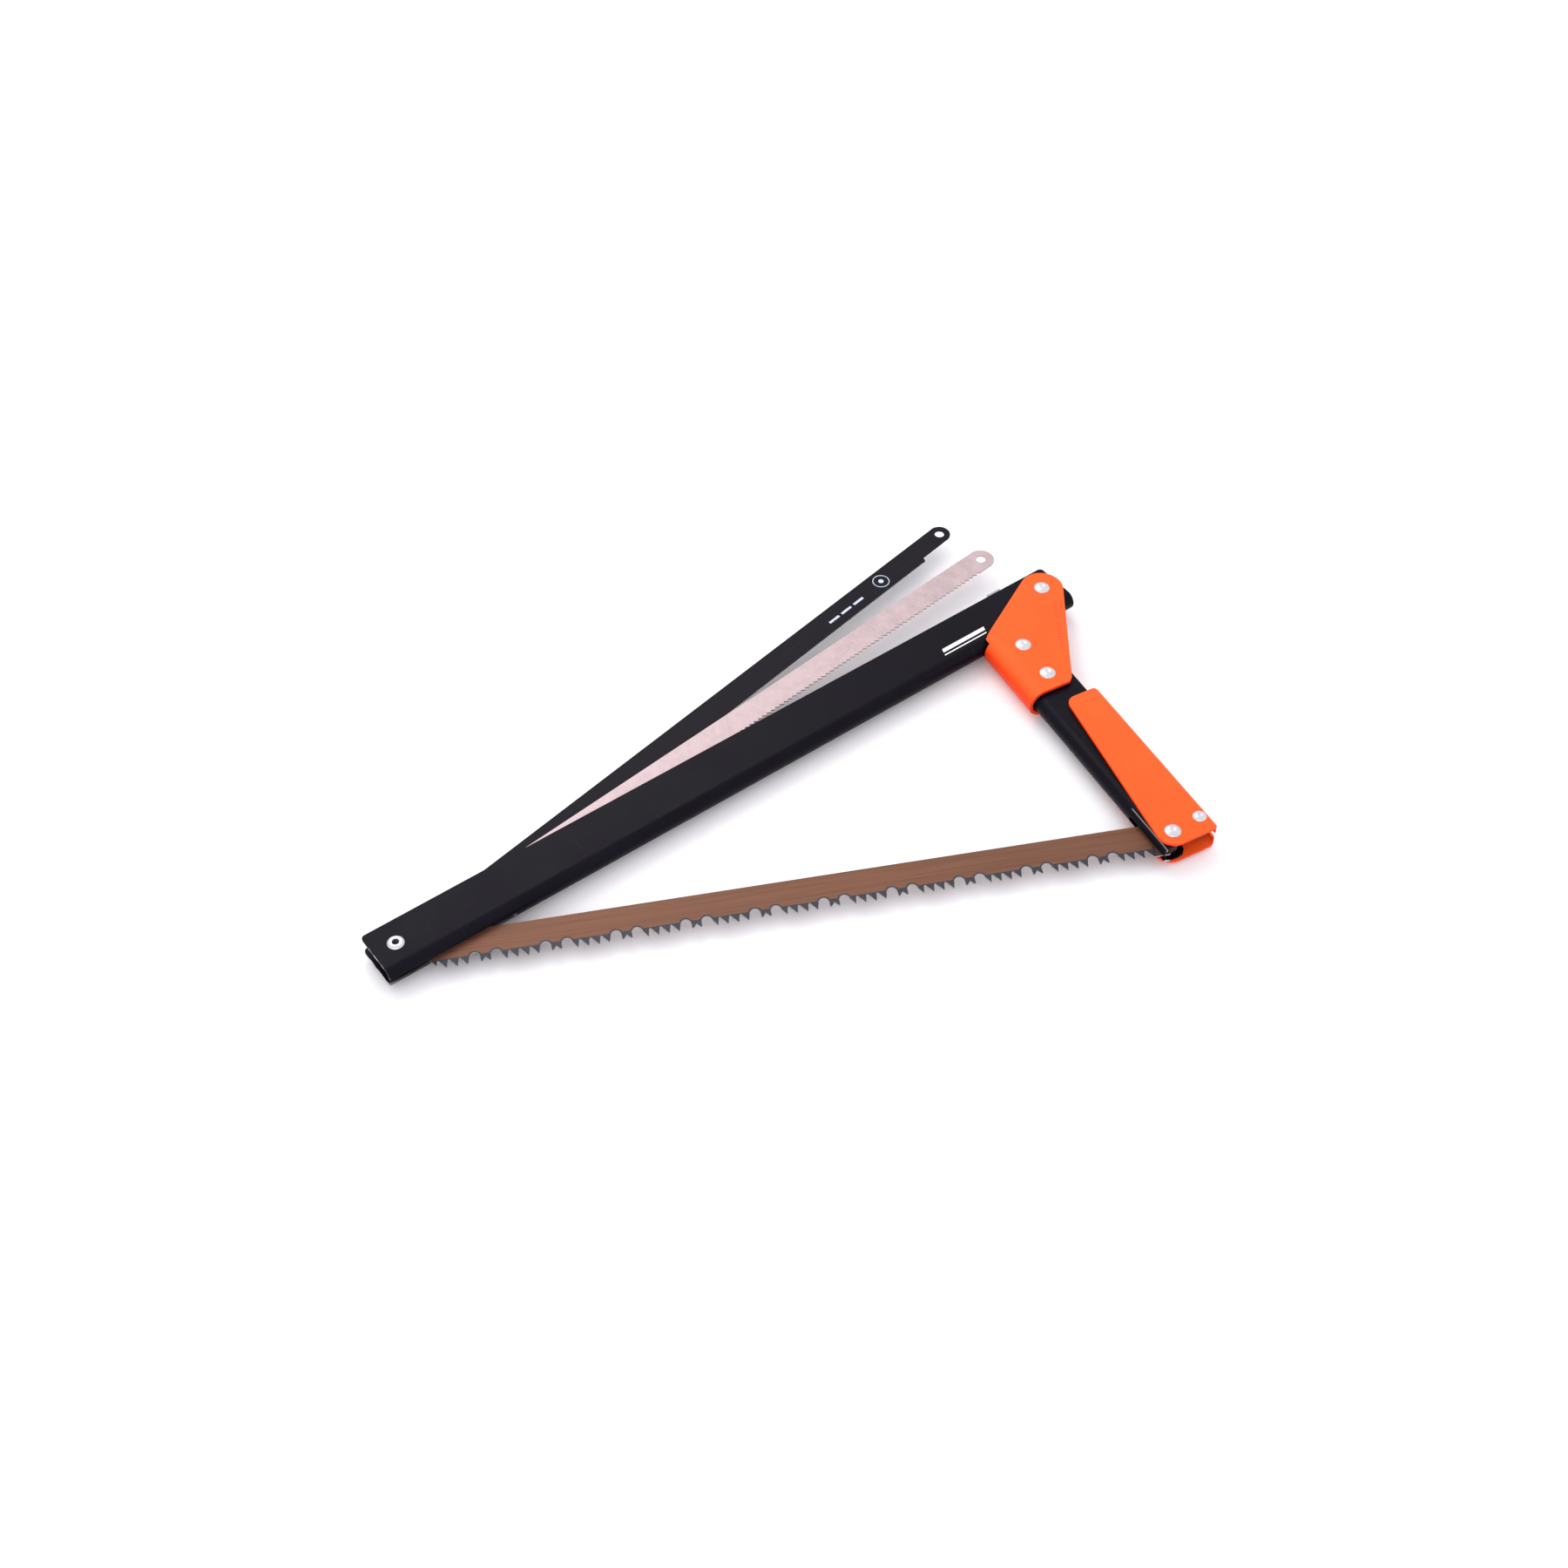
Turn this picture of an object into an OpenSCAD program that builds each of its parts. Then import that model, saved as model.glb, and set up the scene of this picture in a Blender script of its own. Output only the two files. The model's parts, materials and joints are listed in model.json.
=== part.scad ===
// Folding frame saw with three blades.
// The origin is on the axis of the front pin, halfway through the long arm.
// +X runs along the long arm to the knee, +Y to its open back, +Z up.
// The short arm and the lever are drawn in a frame of their own, the grip frame:
// its origin is the knee pivot, +X runs to the grip's tip, -Y faces the blade.

/* [Triangle] */
// Blade length between the centres of its two eyes
blade_length = 430; // [360:5:530]
// How far the knee pivot lies beyond a stowed blade's eye
knee_gap = 5.5; // [5:0.5:15]
// How far the knee pivot lies below the pin line
knee_drop = 1.5; // [0:0.1:3]
// Knee pivot to hook stud, along the grip
stud_reach = 187.7; // [150:1:240]
// Hook stud below the knee pivot, across the grip
stud_inset = 20.9; // [20:0.1:26]
// How far the stud swings out from the lever pivot
stud_throw = 18.5; // [17:0.1:22]
// How far the lever pivot lies past the stud, along the grip
pivot_lead = 1.6; // [0:0.1:4]

/* [Folded arms] */
// Outside thickness of both arms
arm_thick = 12; // [10.5:0.1:14.5]
// Sheet thickness of both arms
arm_sheet = 1.2; // [0.8:0.1:1.6]
// Pin line to the open back edge of the long arm
back_width = 13.9; // [12:0.1:16]
// Pin line to the folded edge of the long arm
fold_width = 16.5; // [16:0.1:20]
// Long arm past the front pin
tip_overhang = 13; // [9:0.5:20]
// Long arm past the knee pivot
knee_overhang = 12.8; // [8:0.2:16]
// Length of the blade slot in the long arm, past the front pin
arm_slot = 62; // [56:1:90]
// Width of the short arm
grip_width = 29.2; // [26:0.1:32]
// Short arm past the lever pivot, along the grip
grip_overhang = 8; // [6.5:0.5:10]
// Lever pivot to the folded edge of the short arm
grip_edge = 10.8; // [8:0.1:12]
// Width of the short arm at its tip
grip_tip_width = 16.5; // [15.5:0.5:19]
// Blade slot of the short arm, before the lever pivot
grip_slot = 24; // [20:0.5:36]
// Height of both blade slots
slot_height = 4.6; // [4:0.1:5]

/* [Knee bracket] */
// Sheet thickness of the knee bracket
bracket_sheet = 2; // [1.2:0.1:2.4]
// Gap between an arm and the bracket on each side
bracket_gap = 1.15; // [0.8:0.05:2]
// Radius of the bracket round the knee pivot
bracket_eye = 12.6; // [10:0.1:14]
// Length of the bracket along the grip
bracket_length = 71.5; // [64:0.5:76]
// Upper bracket rivet, along the grip
rivet_a_reach = 34.5; // [32:0.5:40]
// Lower bracket rivet, along the grip
rivet_b_reach = 60; // [52:0.5:64]
// Clearance between the bracket's stop edge and the long arm
stop_gap = 0.5; // [0.3:0.1:1]

/* [Tension lever] */
// Sheet thickness of the lever
lever_sheet = 1.5; // [1:0.1:1.8]
// Gap between the lever and the short arm on each side
lever_gap = 0.25; // [0.2:0.05:0.8]
// Lever pivot to the lever's free end
lever_length = 108; // [90:1:112]
// Lever pivot to the outside of the lever's folded wall
lever_reach = 24.2; // [23:0.1:24.4]
// Outside bend radius of the lever
lever_bend = 3; // [2:0.1:5]
// Radius of the lever's lobe round its pivot
lever_lobe = 9.3; // [8:0.1:10]
// Width of the lever at its free end
lever_tip_width = 22; // [18:0.5:25]
// Blade slot in the lever's wall, before the lever pivot
lever_slot = 23; // [22:0.5:30]

/* [Blades] */
// Thickness of the wood blade
wood_thick = 0.9; // [0.6:0.05:1.1]
// Thickness of the bone and metal blades
thin_thick = 0.8; // [0.6:0.05:1]
// Distance between the blade layers
layer_pitch = 1.6; // [1.5:0.05:1.8]
// Centre line to the back of the wood blade
wood_back = 6.5; // [6:0.1:7]
// Centre line to the tooth tips of the wood blade
wood_teeth = 15.3; // [14:0.1:15.4]
// Length of one pattern of wood teeth
wood_period = 36.65; // [34:0.05:40]
// Centre line to each edge of the bone blade
bone_half = 7.8; // [6.5:0.1:8.5]
// Tooth pitch of the bone blade
bone_pitch = 3.25; // [2.5:0.05:5]
// Centre line to the back of the metal blade
metal_back = 6.4; // [5.5:0.1:7]
// Centre line to the tooth edge of the metal blade
metal_teeth = 9.3; // [8:0.1:10]
// Eye at the free end of each blade
eye_bore = 5.8; // [5:0.1:7]
// Fanned angle of the bone blade
bone_fan = 5.9; // [3:0.1:9]
// Fanned angle of the metal blade
metal_fan = 10.4; // [6:0.1:16]

/* [Pins and rivets] */
// Diameter of the tubular front pin
pin_d = 5.6; // [5:0.1:6.4]
// Bore through the front pin
pin_bore = 3.6; // [2.5:0.1:4]
// Shank of every solid rivet
rivet_d = 5; // [4:0.1:5.4]
// Head of the pin and the large rivets
head_d = 9.2; // [8.4:0.1:10]
// Height of the large heads
head_h = 1.6; // [1.2:0.1:2]
// Head of the hook stud
stud_head_d = 7.6; // [6.5:0.1:8]
// Shank of the hook stud
stud_d = 5.2; // [4.5:0.1:5.6]
// Radial clearance of every running fit
run_gap = 0.08; // [0.04:0.01:0.1]
// Face clearance between pieces that turn on each other
face_gap = 0.1; // [0.05:0.01:0.15]

/* [Hidden] */
$fn = 96;
far = 600;
half = arm_thick / 2;
inner = half - arm_sheet;
knee = [blade_length + knee_gap, -knee_drop];
stud_line = norm([stud_reach, stud_inset]);
knee_line = norm(knee);
// Law of cosines on the triangle of front pin, knee pivot and hook stud
wood_angle = acos((pow(knee_line, 2) + pow(blade_length, 2) - pow(stud_line, 2))
    / (2 * knee_line * blade_length)) - atan2(knee.y, knee.x);
stud_at = blade_length * [cos(wood_angle), -sin(wood_angle)];
grip_angle = atan2(stud_at.y - knee.y, stud_at.x - knee.x) + atan2(stud_inset, stud_reach);
// Places in the grip frame
stud_g = [stud_reach, -stud_inset];
pivot_g = stud_g + [pivot_lead, -stud_throw];
grip_fold = pivot_g.y - grip_edge;
grip_back = grip_fold + grip_width;
grip_end = pivot_g.x + grip_overhang;
grip_taper_start = grip_end - 90;
rivet_line = grip_fold + grip_width / 2 + 0.6;
rivet_a = [rivet_a_reach, rivet_line];
rivet_b = [rivet_b_reach, rivet_line];
// The bracket's fold lies concentric with the short arm's fold
bracket_inner = half + bracket_gap;
bracket_outer = bracket_inner + bracket_sheet;
bracket_fold = grip_fold + half - bracket_outer;
bracket_back = bracket_eye + 2;
stop_half = half + 0.6 * bracket_gap;
lever_inner = half + lever_gap;
lever_outer = lever_inner + lever_sheet;
lever_wall = pivot_g.y + lever_reach;
lever_end = pivot_g.x + lever_lobe;
lever_start = pivot_g.x - lever_length;
// Blade layers
wood_z = -layer_pitch;
metal_z = 0;
bone_z = layer_pitch;
wood_top = wood_z + wood_thick / 2;
stud_end = wood_top + 0.3;
slot_z = wood_z + 0.7;
upper_shoulder = 0.05;
rivet_inner_h = 1.05;
washer_d = 11.5;
bush_d = 9.6;
spacer_d = 8;
corner_r = 2.5;
clip_x = knee.x - 27.5;
clip_width = 9;
clip_sheet = 0.5;
arm_black = "#26232a";
safety_orange = "#ff6f2e";
zinc = "#d8d8dc";
bronze = "#86664f";
bright_steel = "#c9c1c6";
dark_steel = "#302c33";

// ---- Shared shapes ----

// Section of a folded channel: the fold is at y = fold, the open edges at y = back
module channel_section(fold, back, outer, sheet, bend) {
    difference() {
        section_block(fold, back, outer, bend);
        section_block(fold + sheet, back + 1, outer - sheet, max(bend - sheet, 0.3));
    }
}

// Solid section: flat at y = back, with both corners at y = fold rounded
module section_block(fold, back, h, bend) {
    translate([fold + bend, -h]) square([back - fold - bend, 2 * h]);
    for (side = [-1, 1])
        translate([fold + bend, side * (h - bend)]) circle(r = bend);
    if (h > bend)
        translate([fold, bend - h]) square([bend + 0.01, 2 * (h - bend)]);
}

// The channel itself, from x0 to x1
module channel(x0, x1, fold, back, outer, sheet, bend) {
    translate([x0, 0, 0]) rotate([90, 0, 90])
        linear_extrude(height = x1 - x0) channel_section(fold, back, outer, sheet, bend);
}

// Tall prism on a plan outline, to trim a channel's plates
module trim_prism() {
    translate([0, 0, -20]) linear_extrude(height = 40) children();
}

module hole(at, d) {
    translate([at.x, at.y, -20]) cylinder(d = d, h = 40);
}

// Slot in a fold, closed by a round end at x0 and open at x1
module fold_slot(x0, x1, fold) {
    r = slot_height / 2;
    translate([x0 + r, fold - 1, slot_z - r]) cube([x1 - x0, half + 1, slot_height]);
    translate([x0 + r, fold - 1, slot_z]) rotate([-90, 0, 0]) cylinder(r = r, h = half + 1);
}

// Shallow dome of diameter d and height h, flat side down
module dome(d, h) {
    ball = (pow(d / 2, 2) + h * h) / (2 * h);
    intersection() {
        translate([0, 0, h - ball]) sphere(r = ball);
        cylinder(d = d + 1, h = h + 1);
    }
}

// Ring or tube standing on z0
module ring(d_out, d_in, z0, z1) {
    difference() {
        translate([0, 0, z0]) cylinder(d = d_out, h = z1 - z0);
        translate([0, 0, z0 - 1]) cylinder(d = d_in, h = z1 - z0 + 2);
    }
}

// Riveted head with the small dimple that the setting tool leaves
module riveted_head(z) {
    difference() {
        translate([0, 0, z]) dome(head_d, head_h);
        translate([0, 0, z + head_h + 1]) sphere(d = 2.9);
    }
}

// Short rivet through two plates of one side: outer dome, shank, inner head
module half_rivet(head_z) {
    riveted_head(head_z);
    translate([0, 0, inner - 0.5]) cylinder(d = rivet_d, h = head_z - inner + 0.6);
    translate([0, 0, inner - upper_shoulder - rivet_inner_h])
        cylinder(d = head_d - 0.8, h = rivet_inner_h);
}

// Rivet right through, with a head at each end
module through_rivet(head_z) {
    for (side = [0, 1]) mirror([0, 0, side]) riveted_head(head_z);
    translate([0, 0, -head_z - 0.1]) cylinder(d = rivet_d, h = 2 * head_z + 0.2);
}

module in_grip_frame() {
    translate([knee.x, knee.y, 0]) rotate([0, 0, grip_angle]) children();
}

module at_grip(p) {
    in_grip_frame() translate([p.x, p.y, 0]) children();
}

// ---- Long arm and what is fixed in it ----

module arm_plan() {
    x0 = -tip_overhang;
    x1 = knee.x + knee_overhang;
    translate([x0, -fold_width - 1])
        square([x1 - x0, fold_width + 1 + back_width - corner_r]);
    translate([x0 + corner_r, 0]) square([x1 - x0 - 2 * corner_r, back_width]);
    for (x = [x0 + corner_r, x1 - corner_r])
        translate([x, back_width - corner_r]) circle(r = corner_r);
}

module long_arm() {
    color(arm_black) difference() {
        intersection() {
            channel(-tip_overhang, knee.x + knee_overhang, -fold_width, back_width,
                half, arm_sheet, half);
            trim_prism() arm_plan();
        }
        hole([0, 0], pin_d + 2 * run_gap);
        hole(knee, rivet_d + 2 * run_gap);
        mirror([1, 0, 0]) fold_slot(-arm_slot, tip_overhang + 5, -fold_width);
    }
}

// Tubular rivet with a rolled flange at each end
module front_pin() {
    color(zinc) difference() {
        union() {
            for (side = [0, 1]) mirror([0, 0, side]) translate([0, 0, half]) dome(head_d, 1.3);
            translate([0, 0, -half - 0.1]) cylinder(d = pin_d, h = arm_thick + 0.2);
        }
        hole([0, 0], pin_bore);
    }
}

module front_bush_upper() {
    color(bright_steel) ring(bush_d, pin_d + 2 * run_gap,
        bone_z + thin_thick / 2 + face_gap, inner);
}

module front_bush_lower() {
    color(bright_steel) ring(bush_d, pin_d + 2 * run_gap,
        -inner, wood_z - wood_thick / 2 - face_gap);
}

module blade_washer_upper() {
    color(bright_steel) ring(bush_d, pin_d + 2 * run_gap,
        metal_z + thin_thick / 2 + face_gap, bone_z - thin_thick / 2 - face_gap);
}

module blade_washer_lower() {
    color(bright_steel) ring(bush_d, pin_d + 2 * run_gap,
        wood_top + face_gap, metal_z - thin_thick / 2 - face_gap);
}

// Leaf under the upper plate that keeps the stowed blades quiet
module blade_clip() {
    lip = 0.9;
    color(bright_steel) {
        translate([clip_x, 3, inner - clip_sheet])
            cube([clip_width, back_width + lip - 3, clip_sheet]);
        translate([clip_x, back_width + lip, inner - clip_sheet + lip]) rotate([0, 90, 0])
            cylinder(r = lip, h = clip_width);
    }
}

// ---- Knee bracket and short arm ----

// Point where the straight edge from q touches a circle of radius r round the origin
function touch(q, r, side) = let (a = atan2(q.y, q.x) + side * acos(r / norm(q)))
    r * [cos(a), sin(a)];

module bracket_plan() {
    fold_corner = [bracket_length - 50, bracket_fold - 1];
    back_corner = [bracket_length - 2.5, grip_back - 3.4];
    circle(r = bracket_eye);
    r = bracket_eye - 0.03;
    polygon([[0, 0], touch(fold_corner, r, -1), fold_corner,
        [bracket_length, bracket_fold - 1], [bracket_length, grip_back - 6.2],
        back_corner, touch(back_corner, r, 1)]);
}

module knee_bracket() {
    color(safety_orange) difference() {
        in_grip_frame() difference() {
            intersection() {
                channel(-bracket_eye - 5, bracket_length, bracket_fold, bracket_back,
                    bracket_outer, bracket_sheet, bracket_outer);
                trim_prism() bracket_plan();
            }
            hole([0, 0], rivet_d + 0.02);
            hole(rivet_a, rivet_d + 0.02);
            hole(rivet_b, rivet_d + 0.02);
        }
        // Stop edge: the bracket's fold ends just short of the long arm's fold
        translate([0, -fold_width - stop_gap, -stop_half])
            cube([far, far, 2 * stop_half]);
    }
}

module grip_plan() {
    x0 = rivet_a.x - 10.5;
    tip_back = grip_fold + grip_tip_width;
    polygon([[x0, grip_fold - 1], [grip_end, grip_fold - 1], [grip_end, tip_back - 3],
        [grip_end - 3, tip_back], [grip_end - 16, tip_back], [grip_taper_start, grip_back],
        [x0 + 3, grip_back], [x0, grip_back - 3]]);
}

module short_arm() {
    color(arm_black) in_grip_frame() difference() {
        intersection() {
            channel(0, grip_end, grip_fold, grip_back, half, arm_sheet, half);
            trim_prism() grip_plan();
        }
        hole(rivet_a, rivet_d + 0.02);
        hole(rivet_b, rivet_d + 0.02);
        hole(pivot_g, rivet_d + 0.02);
        fold_slot(pivot_g.x - grip_slot, grip_end + 5, grip_fold);
    }
}

module knee_rivet_top() {
    color(zinc) at_grip([0, 0]) half_rivet(bracket_outer);
}

module knee_rivet_bottom() {
    color(zinc) at_grip([0, 0]) mirror([0, 0, 1]) half_rivet(bracket_outer);
}

module knee_washers() {
    color(bright_steel) at_grip([0, 0]) for (side = [0, 1]) mirror([0, 0, side])
        ring(washer_d, rivet_d + 0.02, half + face_gap, bracket_inner);
}

module bracket_rivet_upper() {
    color(zinc) at_grip(rivet_a) through_rivet(bracket_outer);
}

module bracket_rivet_lower() {
    color(zinc) at_grip(rivet_b) through_rivet(bracket_outer);
}

module spacer_tube_upper() {
    color(bright_steel) at_grip(rivet_a) ring(spacer_d, rivet_d + 0.02, -inner, inner);
}

module spacer_tube_lower() {
    color(bright_steel) at_grip(rivet_b) ring(spacer_d, rivet_d + 0.02, -inner, inner);
}

module bracket_washers() {
    color(bright_steel) for (p = [rivet_a, rivet_b]) at_grip(p)
        for (side = [0, 1]) mirror([0, 0, side])
            ring(washer_d, rivet_d + 0.02, half, bracket_inner);
}

// ---- Tension lever ----

module lever_rivet_top() {
    color(zinc) at_grip(pivot_g) half_rivet(lever_outer + face_gap);
}

module lever_rivet_bottom() {
    color(zinc) at_grip(pivot_g) mirror([0, 0, 1]) half_rivet(lever_outer + face_gap);
}

// Unit normal of the straight edge that touches circles c1, r1 and c2, r2 on the blade's side
function edge_normal(c1, r1, c2, r2) = let (d = c2 - c1,
    a = atan2(d.y, d.x) - acos((r1 - r2) / norm(d))) [cos(a), sin(a)];

// Plan of the lever's plates: a lobe round the pivot, a straight inner edge
// and rounded corners at both ends
module lever_plan() {
    r_free = 6;
    r = 4;
    free = [lever_start + r_free, lever_wall - lever_tip_width + r_free];
    near = [lever_start + r, lever_wall - r];
    heel = [lever_end - r, lever_wall - r];
    n = edge_normal(free, r_free, pivot_g, lever_lobe);
    translate(pivot_g) circle(r = lever_lobe);
    translate(free) circle(r = r_free);
    translate(near) circle(r = r);
    translate(heel) circle(r = r);
    polygon([free + r_free * n, pivot_g + lever_lobe * n, pivot_g + [lever_lobe, 0],
        heel + [r, 0], heel + [0, r], near + [0, r], near - [r, 0], free - [r_free, 0]]);
}

module tension_lever() {
    color(safety_orange) in_grip_frame() difference() {
        intersection() {
            mirror([0, 1, 0]) channel(lever_start, lever_end + 2, -lever_wall,
                -(pivot_g.y - lever_lobe - 1), lever_outer, lever_sheet, lever_bend);
            trim_prism() lever_plan();
        }
        hole(pivot_g, rivet_d + 2 * run_gap);
        translate([stud_g.x, stud_g.y, 0]) cylinder(d = stud_d + 0.02, h = 20);
        // Open slot in the wall, which lets the hooked blade's tip swing clear
        translate([pivot_g.x - lever_slot, lever_wall - 5, slot_z - slot_height / 2])
            cube([60, 10, slot_height]);
    }
}

module hook_stud() {
    color(zinc) at_grip(stud_g) {
        difference() {
            translate([0, 0, lever_outer]) dome(stud_head_d, 1.4);
            translate([0, 0, lever_outer + 2.3]) sphere(d = 2.6);
        }
        translate([0, 0, stud_end]) cylinder(d = stud_d, h = lever_outer - stud_end + 0.1);
    }
}

// ---- Blades, each drawn along +X from its front eye with its back at +Y ----

module at_blade(angle, z, thick) {
    rotate([0, 0, angle]) translate([0, 0, z - thick / 2]) linear_extrude(height = thick)
        children();
}

// Round end of a blade, a shade wider than the strip beside it
module blade_ends(r) {
    for (x = [0, blade_length]) translate([x, 0]) circle(r = r + 0.12);
}

module blade_eyes() {
    circle(d = pin_d + 2 * run_gap);
    translate([blade_length, 0]) circle(d = eye_bore);
}

// Wide rounded gullet beside a raker tooth, flank is how far its open side leans out
module round_gullet(flank) {
    r = 2.9;
    top = wood_teeth - 6.9;
    translate([0, -top - r]) circle(r = r);
    polygon([[-r, -top - r], [r, -top - r], [r, -wood_teeth - 1],
        [-r - flank, -wood_teeth - 1], [-r - flank, -wood_teeth]]);
}

// Narrow gullet between two cutting teeth
module sharp_gullet() {
    r = 0.75;
    top = wood_teeth - 4.8;
    translate([0, -top - r]) circle(r = r, $fn = 24);
    polygon([[-r, -top - r], [0.55, -top - 0.25], [3.7, -wood_teeth], [3.7, -wood_teeth - 1],
        [-1.5, -wood_teeth - 1], [-1.5, -wood_teeth]]);
}

// Notch that splits the raker tooth and leaves it a little short
module raker_notch() {
    low = wood_teeth - 0.7;
    polygon([[-2.7, -low], [-1.9, -low], [0, -low + 2.6], [1.9, -low], [2.7, -low],
        [2.7, -wood_teeth - 1], [-2.7, -wood_teeth - 1]]);
}

module wood_outline() {
    tang = 14;
    shoulder = 20;
    blade_ends(wood_back);
    polygon([[0, wood_back], [0, -wood_back], [tang, -wood_back], [shoulder, -wood_teeth],
        [blade_length - shoulder, -wood_teeth], [blade_length - tang, -wood_back],
        [blade_length, -wood_back], [blade_length, wood_back]]);
}

module wood_blade() {
    first = 1.9;
    raker = 5.55;
    sharp = [18, 23.5, 29.1];
    lo = 15;
    hi = blade_length - 30;
    count = ceil(blade_length / wood_period);
    color(bronze) at_blade(-wood_angle, wood_z, wood_thick) difference() {
        wood_outline();
        blade_eyes();
        for (i = [0:count]) {
            x = first + i * wood_period;
            if (x > lo && x < hi) translate([x, 0]) round_gullet(0.95);
            if (x + raker > lo && x + raker < hi) translate([x + raker, 0]) raker_notch();
            if (x + 2 * raker > lo && x + 2 * raker < hi)
                translate([x + 2 * raker, 0]) mirror([1, 0]) round_gullet(2.4);
            for (s = sharp) if (x + s > lo && x + s < hi) translate([x + s, 0]) sharp_gullet();
        }
    }
}

module bone_blade() {
    depth = 1.4;
    x0 = 22;
    count = floor((blade_length - 8 - x0) / bone_pitch);
    edge = [for (i = [0:count - 1]) each [[x0 + i * bone_pitch, -bone_half],
        [x0 + (i + 0.3) * bone_pitch, -bone_half + depth],
        [x0 + (i + 0.92) * bone_pitch, -bone_half]]];
    color(bright_steel) at_blade(bone_fan, bone_z, thin_thick) difference() {
        union() {
            blade_ends(bone_half);
            polygon(concat([[0, bone_half], [0, -bone_half]], edge,
                [[blade_length, -bone_half], [blade_length, bone_half]]));
        }
        blade_eyes();
    }
}

module metal_blade() {
    tang = 24;
    color(dark_steel) at_blade(metal_fan, metal_z, thin_thick) difference() {
        union() {
            blade_ends(metal_back);
            polygon([[0, metal_back], [0, -metal_back], [tang - 1.5, -metal_back],
                [tang, -metal_teeth], [blade_length - tang, -metal_teeth],
                [blade_length - tang + 1.5, -metal_back], [blade_length, -metal_back],
                [blade_length, metal_back]]);
        }
        blade_eyes();
    }
}

long_arm();
front_pin();
front_bush_upper();
front_bush_lower();
blade_washer_upper();
blade_washer_lower();
blade_clip();
short_arm();
knee_bracket();
knee_rivet_top();
knee_rivet_bottom();
knee_washers();
bracket_rivet_upper();
bracket_rivet_lower();
spacer_tube_upper();
spacer_tube_lower();
bracket_washers();
lever_rivet_top();
lever_rivet_bottom();
tension_lever();
hook_stud();
wood_blade();
bone_blade();
metal_blade();
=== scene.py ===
import json
import math

import bpy
from bpy.props import FloatProperty, FloatVectorProperty, PointerProperty
from mathutils import Matrix, Vector

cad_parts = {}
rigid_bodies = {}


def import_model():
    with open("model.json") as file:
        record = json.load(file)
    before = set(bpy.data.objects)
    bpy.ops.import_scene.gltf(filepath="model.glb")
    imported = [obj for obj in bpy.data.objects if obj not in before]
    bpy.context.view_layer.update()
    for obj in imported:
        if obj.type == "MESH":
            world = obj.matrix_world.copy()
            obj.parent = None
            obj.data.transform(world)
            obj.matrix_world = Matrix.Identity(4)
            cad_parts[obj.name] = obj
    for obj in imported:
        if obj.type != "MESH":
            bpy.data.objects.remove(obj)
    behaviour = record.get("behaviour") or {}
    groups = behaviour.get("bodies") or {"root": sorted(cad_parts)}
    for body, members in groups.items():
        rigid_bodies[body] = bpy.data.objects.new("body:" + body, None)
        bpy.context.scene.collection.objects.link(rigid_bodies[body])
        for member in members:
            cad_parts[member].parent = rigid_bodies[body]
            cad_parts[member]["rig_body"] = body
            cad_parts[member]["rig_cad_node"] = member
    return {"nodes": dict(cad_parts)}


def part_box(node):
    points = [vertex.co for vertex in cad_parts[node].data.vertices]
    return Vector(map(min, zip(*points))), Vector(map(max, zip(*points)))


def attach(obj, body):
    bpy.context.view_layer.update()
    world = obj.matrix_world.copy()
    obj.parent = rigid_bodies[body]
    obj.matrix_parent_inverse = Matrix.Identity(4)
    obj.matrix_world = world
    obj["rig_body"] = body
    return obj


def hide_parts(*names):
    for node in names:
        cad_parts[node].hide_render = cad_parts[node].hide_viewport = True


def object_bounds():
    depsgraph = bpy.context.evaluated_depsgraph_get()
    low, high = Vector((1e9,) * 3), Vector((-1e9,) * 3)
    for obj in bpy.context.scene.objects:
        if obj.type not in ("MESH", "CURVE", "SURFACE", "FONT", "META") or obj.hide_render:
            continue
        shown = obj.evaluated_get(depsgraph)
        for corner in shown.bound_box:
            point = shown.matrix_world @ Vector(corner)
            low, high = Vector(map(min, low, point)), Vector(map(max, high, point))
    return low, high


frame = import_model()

bl_info = {
    "name": "Folding frame saw",
    "version": (1, 0, 0),
    "blender": (4, 5, 0),
    "location": "View3D > Sidebar > Saw",
    "description": "Finishes a folding frame saw: soft edges, fine teeth, turned rivets and paint",
    "category": "Object",
}

CAD_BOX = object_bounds()
MM = 0.001


# ---- Sizes and colours ----

class SawSizes(bpy.types.PropertyGroup):
    """Small sizes that the finishing work adds to the saw."""
    sheet_round: FloatProperty(
        name="Sheet edge rounding",
        description="Radius on the cut edges of the painted sheet metal",
        default=0.0003, min=0.00005, max=0.0005, unit='LENGTH', precision=5)
    blade_round: FloatProperty(
        name="Blade edge rounding", description="Radius on the edges of the thin blades",
        default=0.00008, min=0.00002, max=0.0002, unit='LENGTH', precision=5)
    fine_pitch: FloatProperty(
        name="Fine tooth pitch", description="Pitch of the metal blade's teeth",
        default=0.0014, min=0.001, max=0.003, unit='LENGTH', precision=5)
    fine_depth: FloatProperty(
        name="Fine tooth depth", description="Depth of the metal blade's teeth",
        default=0.0007, min=0.0003, max=0.001, unit='LENGTH', precision=5)


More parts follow.
